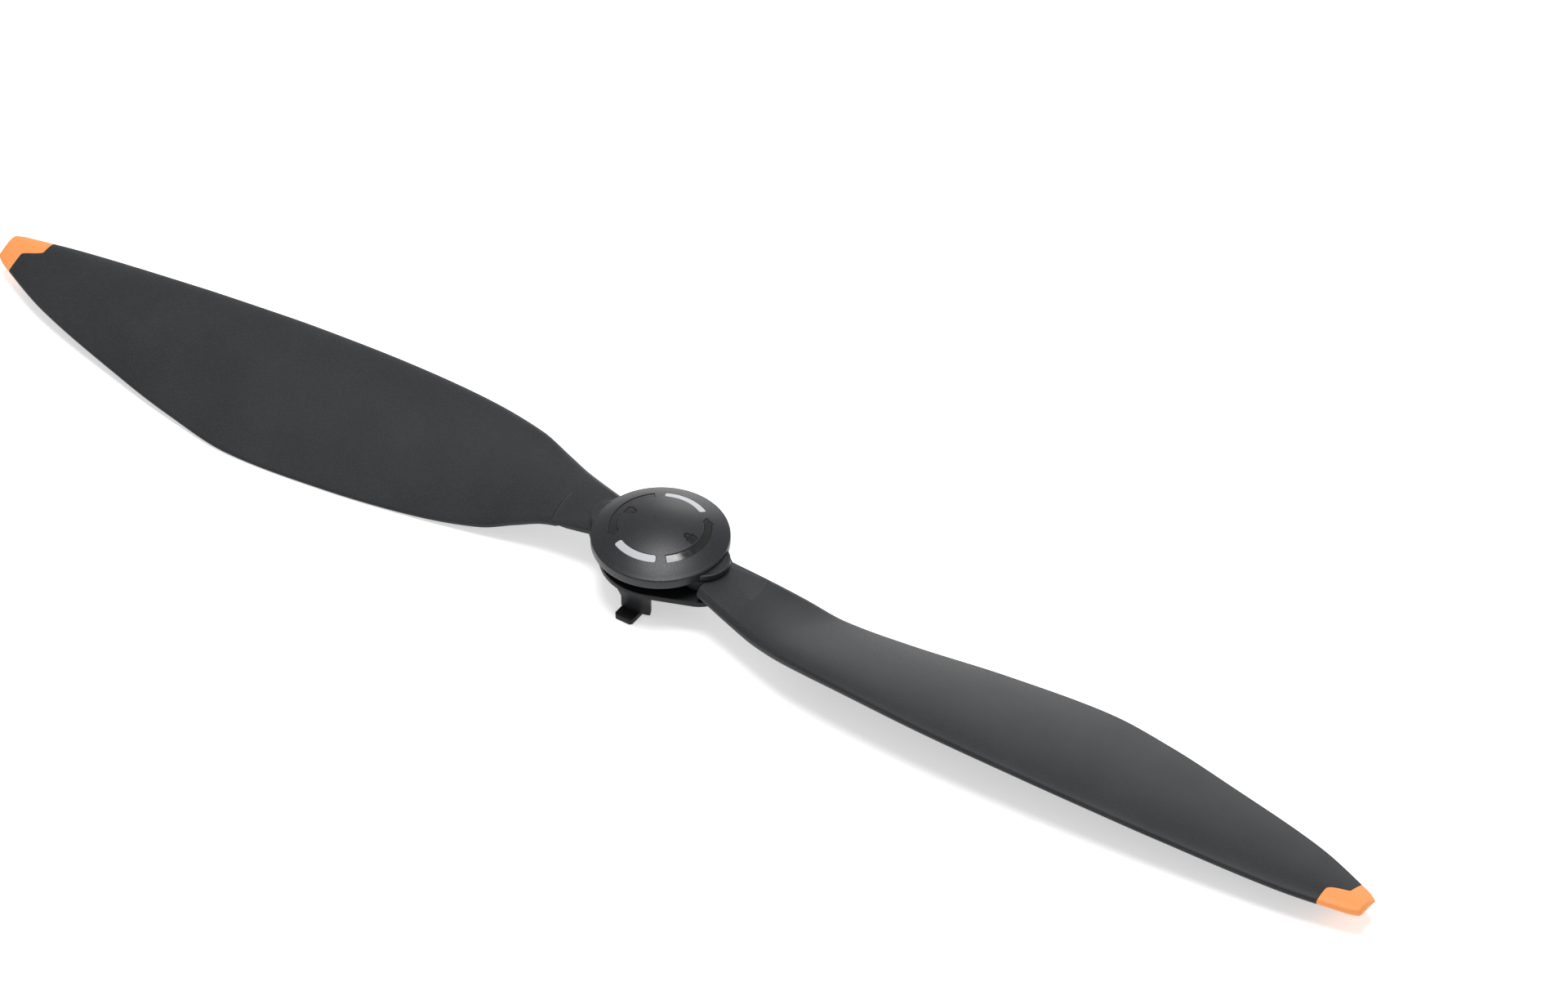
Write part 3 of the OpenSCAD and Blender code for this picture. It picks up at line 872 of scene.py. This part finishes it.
def grown_loop(loop, amount):
    """The loop moved outwards by an amount; holes run the other way round and shrink."""
    made = []
    count = len(loop)
    for k, p in enumerate(loop):
        before = (p - loop[k - 1]).normalized()
        after = (loop[(k + 1) % count] - p).normalized()
        n1, n2 = Vector((before.y, -before.x)), Vector((after.y, -after.x))
        made.append(p + amount * (n1 + n2) / max(1 + n1.dot(n2), 0.35))
    return made


MARKS = {"grey_arc": [grey_outline()], "lock_arrow": [arrow_outline()],
         "padlock": [padlock_outline(), padlock_eye()]}
MARKS = {name: [tidy_loop(loop) for loop in loops] for name, loops in MARKS.items()}
print({name: [len(loop) for loop in loops] for name, loops in MARKS.items()})

# %% [markdown]
# Blender's own constrained Delaunay routine takes points and the edges that have to
# stay, and returns the triangles. It works in millimetres here, because its tolerance
# is meant for numbers near one. Grid points that fall too near an outline are left
# out, so that no triangle is a sliver.

# %% Fill loops and a round grid with triangles
def near_loops(point, loops, reach):
    for loop in loops:
        for a, b in zip(loop, loop[1:] + loop[:1]):
            if (point - a).length < 6 * reach or (point - b).length < 6 * reach:
                edge = b - a
                t = min(max((point - a).dot(edge) / max(edge.length_squared, 1e-18), 0), 1)
                if (point - a - edge * t).length < reach:
                    return True
    return False


def inside(point, loop):
    hit = False
    for a, b in zip(loop, loop[1:] + loop[:1]):
        if (a.y > point.y) != (b.y > point.y):
            if point.x < (b.x - a.x) * (point.y - a.y) / (b.y - a.y) + a.x:
                hit = not hit
    return hit


def triangles(loops, extra):
    """Triangles over all loops and extra points: their points and index triples."""
    points, edges = [], []
    for loop in loops:
        first = len(points)
        points += loop
        edges += [(first + k, first + (k + 1) % len(loop)) for k in range(len(loop))]
    points = points + extra
    made = geometry.delaunay_2d_cdt([p / MM for p in points], edges, [], 0, 1e-6)
    places = [p * MM for p in made[0]]
    source = [ids[0] if ids else -1 for ids in made[3]]
    return places, made[2], source


def round_grid(outer, gap):
    made = [Vector((0, 0))]
    rings = int(outer / gap)
    for k in range(1, rings):
        radius = outer * k / rings
        count = max(6, round(2 * math.pi * radius / gap))
        made += [polar(radius, 360 * (j + 0.5 * (k % 2)) / count) for j in range(count)]
    return made


print("grid of", len(round_grid(hub_r, 0.4 * MM)), "points")

# %% [markdown]
# ## The cap as one closed skin
# The top comes from the triangles. Its rim is a circle with a fixed count of points,
# and a profile carries that circle over the soft crease, down the wall, under the lip
# and up inside the hollow, as one more lathe row for each profile point. The two ears
# over the hinges and the bosses for the screws are joined on with Booleans. Each boss
# is first cut to the hollow's shape, so that it can't come through the dome.

# %% The cap
pocket_depth = 0.42 * MM
pocket_soft = 0.07 * MM
draft = 0.03 * MM
rim_steps = 300
rim_in = 0.5 * MM
rim_r = hub_r - rim_in
dome_grid = 0.36 * MM
grid_room = 0.17 * MM
cap_soft = 0.32 * MM
cap_skin = 1.3 * MM
cap_side = 1.2 * MM
post_r = 3.2 * MM
spigot_r = 1.6 * MM
socket_r = post_r + 0.6 * MM
socket_top = gap_top + 1.2 * MM
socket_soft = 0.15 * MM
ear_r = cap_high.x - pivot_x
ear_shift = -0.3 * MM
ear_h = 1.1 * MM


def cap_top_skin():
    depths, loops = [], []
    for outlines in MARKS.values():
        for outline in outlines:
            for loop in (outline, half_turned(outline)):
                for grow, depth in ((pocket_soft, 0), (0, pocket_soft), (-draft, pocket_depth)):
                    loops.append(grown_loop(loop, grow))
                    depths += [depth] * len(loop)
    rim = [polar(rim_r, 360 * k / rim_steps) for k in range(rim_steps)]
    loops.append(rim)
    depths += [0] * rim_steps
    grid = [p for p in round_grid(rim_r, dome_grid)
            if not near_loops(p, loops, grid_room)
            and not any(inside(p, loop) for loop in loops[:-1])]
    places, faces, source = triangles(loops, grid)
    depths += [0] * len(grid)
    points = [(p.x, p.y, dome_at(p.length, depths[i])) for p, i in zip(places, source)]
    return points, [list(f) for f in faces]


points, faces = cap_top_skin()
under_dome = [(r * MM, dome_at(r * MM, cap_skin)) for r in (10.4, 9, 7.5, 6, 5, 4.2)]
profile = [(rim_r, dome_at(rim_r))]
profile += rounded([(rim_r, dome_at(rim_r)), (hub_r, crease_z), (hub_r, gap_top),
                    (hub_r - cap_side, gap_top), (hub_r - cap_side, dome_at(10.5 * MM, cap_skin))],
                   cap_soft, steps=7)[1:]
profile += under_dome
profile += rounded([(socket_r, dome_at(3.9 * MM, cap_skin)), (socket_r, gap_top),
                    (spigot_r, gap_top), (spigot_r, socket_top), (0, socket_top)],
                   socket_soft, steps=3)
cap = turned("cap_wall", profile, steps=rim_steps)
offset = len(cap.data.vertices)
all_points = [tuple(v.co) for v in cap.data.vertices] + points
all_faces = [list(p.vertices) for p in cap.data.polygons]
all_faces += [[i + offset for i in f] for f in faces]
bpy.data.objects.remove(cap)
cap = solid("hub_cap_skin", all_points, all_faces)
ears = []
bosses = []
holes = []
lip = 0.045 * MM
lip_w = 0.5 * MM
lip_slope = 0.1 * MM
ear_soft = 0.14 * MM
boss_r = 3.4 * MM
boss_sink = 0.8
thread_top = head_high.z + 0.1 * MM
room = [(0, gap_top), (hub_r - boss_sink * cap_side, gap_top)]
room += [(r * MM, dome_at(r * MM, boss_sink * cap_skin)) for r in (10.7, 9, 7.5, 6, 4.5, 3)]
room.append((0, dome_at(0, boss_sink * cap_skin)))
for sign in (1, -1):
    centre = (sign * pivot_x, sign * ear_shift)
    top = gap_top + ear_h
    ears.append(turned("ear", rounded([
        (0, gap_top), (ear_r, gap_top), (ear_r, top), (ear_r - lip_w, top),
        (ear_r - lip_w - lip_slope, top - lip), (0, top - lip)], ear_soft, steps=4),
        centre, steps=144))
    boss = turned("boss", [(0, gap_top), (boss_r, gap_top), (boss_r, cap_top), (0, cap_top)],
                  (sign * pivot_x, 0), steps=96)
    bosses.append(combine(boss, [turned("room", room, steps=180)], "INTERSECT"))
    holes.append(turned("thread_hole", [(0, gap_top - MM), (thread_r, gap_top - MM),
                                        (thread_r, thread_top), (0, thread_top)],
                        (sign * pivot_x, 0), steps=48))
combine(cap, bosses, "UNION")
combine(cap, ears, "UNION")
combine(cap, holes, "DIFFERENCE")
clean(cap)
print("cap", len(cap.data.polygons), "faces")

# %% [markdown]
# ## The marks
# Each mark is its own closed piece, set into its pocket with a hair of room. Its top
# follows the dome: the grey arcs are flush, and the glossy ones lie a little lower.
# The same outlines and the same triangulation make them, so they fit by rule.

# %% Inlays for the pockets
gloss_sink = 0.12 * MM
inlay_room = 0.03 * MM
inlay_soft = 0.045 * MM
inlay_foot = draft + 0.01 * MM
inlay_depth = 0.4 * MM
inlay_grid = 0.3 * MM
inlay_clear = 0.12 * MM


def inlay(name, outlines, sink):
    levels = ((-inlay_room - inlay_soft, sink), (-inlay_room, sink + inlay_soft),
              (-inlay_foot, inlay_depth))
    points = []
    faces = []
    tops = [grown_loop(loop, levels[0][0]) for loop in outlines]
    reach = max(p.length for p in tops[0]) + inlay_grid
    grid = [p for p in round_grid(reach, inlay_grid)
            if inside(p, tops[0]) and not any(inside(p, h) for h in tops[1:])
            and not near_loops(p, tops, inlay_clear)]
    for loops, extra, depth, flip in ((tops, grid, sink, False),
                                      ([grown_loop(o, levels[-1][0]) for o in outlines], [],
                                       levels[-1][1], True)):
        places, found, _ = triangles(loops, extra)
        first = len(points)
        points += [(p.x, p.y, dome_at(p.length, depth)) for p in places]
        for f in found:
            middle = sum((places[i] for i in f), Vector((0, 0))) / 3
            if inside(middle, loops[0]) and not any(inside(middle, h) for h in loops[1:]):
                ids = [i + first for i in f]
                faces.append(ids[::-1] if flip else ids)
    for outline in outlines:
        count = len(outline)
        first = len(points)
        for grow, depth in levels:
            points += [(p.x, p.y, dome_at(p.length, depth)) for p in grown_loop(outline, grow)]
        for k in range(len(levels) - 1):
            for j in range(count):
                a, b = first + k * count + j, first + k * count + (j + 1) % count
                faces.append([a, a + count, b + count, b])
    return solid(name, points, faces, weld=0.003 * MM)


inlays = {"grey_arc": inlay("grey_arc", MARKS["grey_arc"], 0.0),
          "lock_arrow": inlay("lock_arrow", MARKS["lock_arrow"], gloss_sink),
          "padlock": inlay("padlock", MARKS["padlock"], gloss_sink)}
print({name: len(piece.data.polygons) for name, piece in inlays.items()})

# %% [markdown]
# ## Small parts in pairs
# Everything at a hinge is there twice, half a turn apart. A Geometry Nodes tree places
# any small part round the hub as instances, so the part is modelled once. It ends in
# Realize Instances and Set Material, since the export drops instances.

# %% A tree that repeats a part round the hub
PAIR_SOCKETS = [("Part", "NodeSocketObject"), ("Count", "NodeSocketInt"),
                ("Finish", "NodeSocketMaterial")]


def round_hub_tree():
    tree, w, given, end = shape_tree("Round the hub", PAIR_SOCKETS)
    g = given.outputs
    seats = w.node("GeometryNodeMeshLine", {"Count": g["Count"]}, mode="OFFSET")
    w.feed(seats.inputs["Offset"], (0.0, 0.0, 0.0))
    index = w.node("GeometryNodeInputIndex").outputs[0]
    angle = w.times(w.math("DIVIDE", index, g["Count"]), 2 * math.pi)
    part = w.node("GeometryNodeObjectInfo", {"Object": g["Part"]}).outputs["Geometry"]
    placed = w.node("GeometryNodeInstanceOnPoints", {"Points": seats.outputs[0],
                                                     "Instance": part,
                                                     "Rotation": w.join(0.0, 0.0, angle)})
    finished(w, placed.outputs[0], g["Finish"], end)
    return tree


round_hub = round_hub_tree()


def pair(name, part, finish, crease=32):
    made = grown(name, round_hub, {"Part": part, "Count": 2, "Finish": finish})
    bpy.data.objects.remove(part)
    return clean(made, weld=0.001 * MM, crease=crease)


grey_arcs = pair("grey_arcs", inlays["grey_arc"], grey_inlay)
lock_arrows = pair("lock_arrows", inlays["lock_arrow"], gloss_inlay)
padlocks = pair("padlock_marks", inlays["padlock"], gloss_inlay)
print("marks in pairs", len(grey_arcs.data.polygons), len(lock_arrows.data.polygons))

# %% [markdown]
# ## Sleeves, washers and screws
# Each blade turns on a steel sleeve, between two thin plastic washers, and a black
# screw from below clamps the stack. All are lathe work. The screw's cross recess is a
# Boolean, and its thread is a small ridge that winds up the shank.

# %% The hinge hardware
sleeve = turned("sleeve", rounded([
    (thread_r, sleeve_low.z), (sleeve_r, sleeve_low.z), (sleeve_r, sleeve_high.z),
    (thread_r, sleeve_high.z), (thread_r, sleeve_low.z)], 0.1 * MM, steps=3)[:-1],
    here, steps=96, ring=True)
sleeves = pair("pivot_sleeves", sleeve, sleeve_steel)


def washer(low):
    inner = sleeve_r + 0.02 * MM
    return turned("washer", rounded([
        (inner, low), (washer_r, low), (washer_r, low + washer_t), (inner, low + washer_t),
        (inner, low)], 0.06 * MM, steps=3)[:-1], here, steps=112, ring=True)


lower_washers = pair("lower_washers", washer(washer_low.z), film_plastic)
upper_washers = pair("upper_washers", washer(gap_top - washer_t), film_plastic)


screw_seat = 0.8 * MM
shank = 0.86 * MM
thread_from = 1.35 * MM
thread_pitch = 0.4 * MM
thread_turns = 9
thread_rows = 24
ridge_half = 0.17 * MM
ridge_h = 0.14 * MM
slot_long = 1.15 * MM
slot_wide = 0.24 * MM
slot_taper = 0.72


def screw():
    seat = screw_seat
    head_h = seat - head_low.z
    made = turned("screw", rounded([
        (0, head_low.z), (screw_head_r, head_low.z), (screw_head_r, seat), (shank, seat),
        (shank, head_high.z - 0.25 * MM), (0.55 * MM, head_high.z), (0, head_high.z)],
        0.16 * MM, steps=5), here, steps=96)
    ridge = []
    last = thread_turns * thread_rows
    for k in range(last + 1):
        angle = 2 * math.pi * k / thread_rows
        height = seat + thread_from + thread_pitch * k / thread_rows
        fade = min(1.0, k / thread_rows, (last - k) / thread_rows)
        for radius, rise in ((shank - hair, -ridge_half), (shank + ridge_h * fade, 0),
                             (shank - hair, ridge_half)):
            ridge.append((pivot_x + radius * math.cos(angle), radius * math.sin(angle),
                          height + rise))
    faces = band_faces(last + 1, 3)
    faces += [[0, 1, 2], [3 * last + j for j in (2, 1, 0)]]
    combine(made, [solid("thread", ridge, faces)], "UNION")
    slots = []
    for along_x in (True, False):
        dx, dy = (slot_long, slot_wide) if along_x else (slot_wide, slot_long)
        square = ((-1, -1), (1, -1), (1, 1), (-1, 1))
        low = [(pivot_x + a * dx, b * dy) for a, b in square]
        deep = [(pivot_x + slot_taper * a * dx, slot_taper * b * dy) for a, b in square]
        floor_z = head_low.z + 0.4 * head_h + 0.1 * MM
        slots.append(stacked("drive", [(low, head_low.z - hair), (deep, floor_z)]))
    return combine(made, slots, "DIFFERENCE")


screws = pair("pivot_screws", screw(), screw_steel)
print("hardware", [len(p.data.polygons) for p in (sleeves, lower_washers, screws)])

# %% [markdown]
# ## The base plate and its claws
# The base is one moulding: a plate with an overhanging rim, a post between the blades,
# a blind bore that centres it on the motor, and two claws that hook under the motor's
# lugs. The plate is a stack of the same outline, the claws are bevelled blocks bent to
# the hub's circle, and Booleans join them and sink the holes.

# %% The base
rim_t = 1.05 * MM
rim_step = 1.3 * MM
leg_r = 7.8 * MM
leg_t = 1.3 * MM
leg_from, leg_to = -103, -67
flare_drop = 2 * MM
claw_drop = -base_low.z
foot_r = -base_low.y
foot_w = 3.5 * MM
foot_t = 1.1 * MM
leg_low = -claw_drop + 0.9 * MM
motor_bore_r = 2 * MM
motor_bore_depth = 3.6 * MM


def bevelled(piece, width, segments=3):
    modifier = piece.modifiers.new("soft edges", "BEVEL")
    modifier.width = width
    modifier.segments = segments
    modifier.limit_method = "ANGLE"
    modifier.angle_limit = math.radians(40)
    return settle(piece)


def claw_leg():
    slope_top = plate_top - rim_t
    section = [(leg_r, leg_low), (leg_r + leg_t, leg_low), (leg_r + leg_t, -flare_drop),
               (base_r - 0.2 * MM, slope_top), (base_r - 0.2 * MM, slope_top + 0.5 * rim_t),
               (leg_r, slope_top + 0.5 * rim_t)]
    steps = 20
    n = len(section)
    points = []
    for k in range(steps + 1):
        angle = leg_from + (leg_to - leg_from) * k / steps
        points += [(*polar(r, angle), z) for r, z in section]
    faces = band_faces(steps + 1, n)
    faces += [list(range(n))[::-1], [steps * n + j for j in range(n)]]
    return bevelled(solid("leg", points, faces), 0.16 * MM)


def claw_foot():
    clip = 0.4 * MM
    half = foot_w / 2
    shape = [(-half, -leg_r - 0.2 * MM), (-half, clip - foot_r), (clip - half, -foot_r),
             (half - clip, -foot_r), (half, clip - foot_r), (half, -leg_r - 0.2 * MM)]
    made = stacked("foot", [(shape, -claw_drop), (shape, foot_t - claw_drop)])
    return bevelled(made, 0.14 * MM)


plate_edge = rounded([
    (rim_step + 0.6 * MM, 0), (rim_step, 0), (rim_step, plate_top - rim_t),
    (0, plate_top - rim_t), (0, plate_top), (1.2 * MM, plate_top)], 0.16 * MM, steps=4)
base = stacked("hub_base_skin", [(base_outline(inset), z) for inset, z in plate_edge])
adds = [turned("post", rounded([
    (0, plate_top - 0.5 * MM), (post_r, plate_top - 0.5 * MM), (post_r, gap_top),
    (spigot_r, gap_top), (spigot_r, base_high.z), (0, base_high.z)], 0.15 * MM), steps=96)]
for sign in (1, -1):
    for part in (claw_leg(), claw_foot()):
        if sign < 0:
            part.data.transform(HALF_TURN)
        adds.append(part)
combine(base, adds, "UNION")
soft = 0.2 * MM
cuts = [turned("motor_bore", [(0, -hair), (motor_bore_r + soft + hair, -hair),
                              (motor_bore_r, soft), (motor_bore_r, motor_bore_depth - soft),
                              (motor_bore_r - soft, motor_bore_depth), (0, motor_bore_depth)],
               steps=96)]
for sign in (1, -1):
    head_room = screw_head_r + 0.15 * MM
    cuts.append(turned("screw_seat", [(0, -hair), (head_room + 0.12 * MM + hair, -hair),
                                      (head_room, 0.12 * MM), (head_room, screw_seat),
                                      (thread_r, screw_seat), (thread_r, plate_top + MM),
                                      (0, plate_top + MM)], (sign * pivot_x, 0), steps=96))
combine(base, cuts, "DIFFERENCE")
clean(base)
print("base", len(base.data.polygons), "faces")

# %% [markdown]
# ## Finishes, bodies and CAD nodes
# Each piece gets its plastic or metal, rides on the body that moves it, and stands
# for the CAD nodes that it replaces.

# %% Hand each piece to the frame
PIECES = [
    (blade_a, blade_plastic, "blade_black", "blade_a_body", ["blade_a"]),
    (tip_a, tip_plastic, "tip_orange", "blade_a_body", ["blade_tip_a"]),
    (blade_b, blade_plastic, "blade_black", "blade_b_body", ["blade_b"]),
    (tip_b, tip_plastic, "tip_orange", "blade_b_body", ["blade_tip_b"]),
    (cap, cap_plastic, "cap_black", "hub", ["hub_cap"]),
    (base, base_plastic, "base_black", "hub", ["hub_base"]),
    (grey_arcs, grey_inlay, "mark_grey", "hub", ["grey_arc_near", "grey_arc_far"]),
    (lock_arrows, gloss_inlay, "mark_gloss", "hub", ["lock_arrow_a", "lock_arrow_b"]),
    (padlocks, gloss_inlay, "mark_gloss", "hub", ["padlock_mark_a", "padlock_mark_b"]),
    (sleeves, sleeve_steel, "steel", "hub", ["pivot_sleeve_a", "pivot_sleeve_b"]),
    (screws, screw_steel, "screw_steel", "hub", ["pivot_screw_a", "pivot_screw_b"]),
    (lower_washers, film_plastic, "washer_plastic", "hub", ["lower_washer_a", "lower_washer_b"]),
    (upper_washers, film_plastic, "washer_plastic", "hub", ["upper_washer_a", "upper_washer_b"]),
]
bpy.data.objects.remove(stations)
for piece, finish, slot_name, body, nodes in PIECES:
    piece.data.materials.clear()
    piece.data.materials.append(finish)
    piece.data.polygons.foreach_set("material_index", [0] * len(piece.data.polygons))
    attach(piece, body)
    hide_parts(*nodes)
print("pieces", len(PIECES))

# %% [markdown]
# ## Floor, light and camera
# A pale matte floor and a white surround keep the picture plain, and the floor glows a
# little, so that shadows on it stay faint. One large soft lamp hangs almost over the
# hub, so the dome's near side and the glossy marks catch it. A weaker one stands low
# behind the object and lights the blades' upper sides at a slant. The long lens keeps
# the blades in shape.

# %% The studio
floor_half = 6.0
floor_mesh = bpy.data.meshes.new("floor")
floor_z = cad_low.z - 0.02 * MM
floor_mesh.from_pydata([(-floor_half, -floor_half, floor_z), (floor_half, -floor_half, floor_z),
                        (floor_half, floor_half, floor_z), (-floor_half, floor_half, floor_z)],
                       [], [(0, 1, 2, 3)])
floor = bpy.data.objects.new("floor", floor_mesh)
COLLECTION.objects.link(floor)
floor_paint = bpy.data.materials.new("Pale floor")
floor_paint.use_nodes = True
floor_shader = floor_paint.node_tree.nodes["Principled BSDF"]
floor_shader.inputs["Base Color"].default_value = (0.9, 0.9, 0.9, 1)
floor_shader.inputs["Roughness"].default_value = 0.9
floor_shader.inputs["Specular IOR Level"].default_value = 0.1
floor_shader.inputs["Emission Color"].default_value = (1, 1, 1, 1)
floor_shader.inputs["Emission Strength"].default_value = 0.5
floor_mesh.materials.append(floor_paint)

world = bpy.data.worlds.new("Studio")
world.use_nodes = True
world.node_tree.nodes["Background"].inputs["Color"].default_value = (1, 1, 1, 1)
world.node_tree.nodes["Background"].inputs["Strength"].default_value = 0.45
bpy.context.scene.world = world


def soft_lamp(name, place, size, power):
    data = bpy.data.lights.new(name, "AREA")
    data.shape = "DISK"
    data.size = size
    data.energy = power
    lamp = bpy.data.objects.new(name, data)
    lamp.location = place
    lamp.rotation_mode = "QUATERNION"
    lamp.rotation_quaternion = (-Vector(place)).to_track_quat("-Z", "Y")
    COLLECTION.objects.link(lamp)
    return lamp


soft_lamp("overhead", (-0.02, 0.05, 0.9), 0.5, 7.0)
soft_lamp("back", (-0.5, 1.1, 0.35), 0.5, 2.2)

camera_data = bpy.data.cameras.new("camera")
camera = bpy.data.objects.new("camera", camera_data)
COLLECTION.objects.link(camera)
camera_place = Vector((644.9, -920.7, 1039.8)) * MM
camera_target = Vector((7.39, 25.79, -0.5)) * MM
camera.location = camera_place
camera.rotation_mode = "QUATERNION"
camera.rotation_quaternion = (camera_target - camera_place).to_track_quat("-Z", "Y")
camera_data.lens = 210.77
camera_data.sensor_width = 36
camera_data.clip_start = 0.01
camera_data.clip_end = 50
bpy.context.scene.camera = camera
bpy.context.scene.view_settings.view_transform = "Standard"
print("camera", [round(v, 3) for v in camera.location])
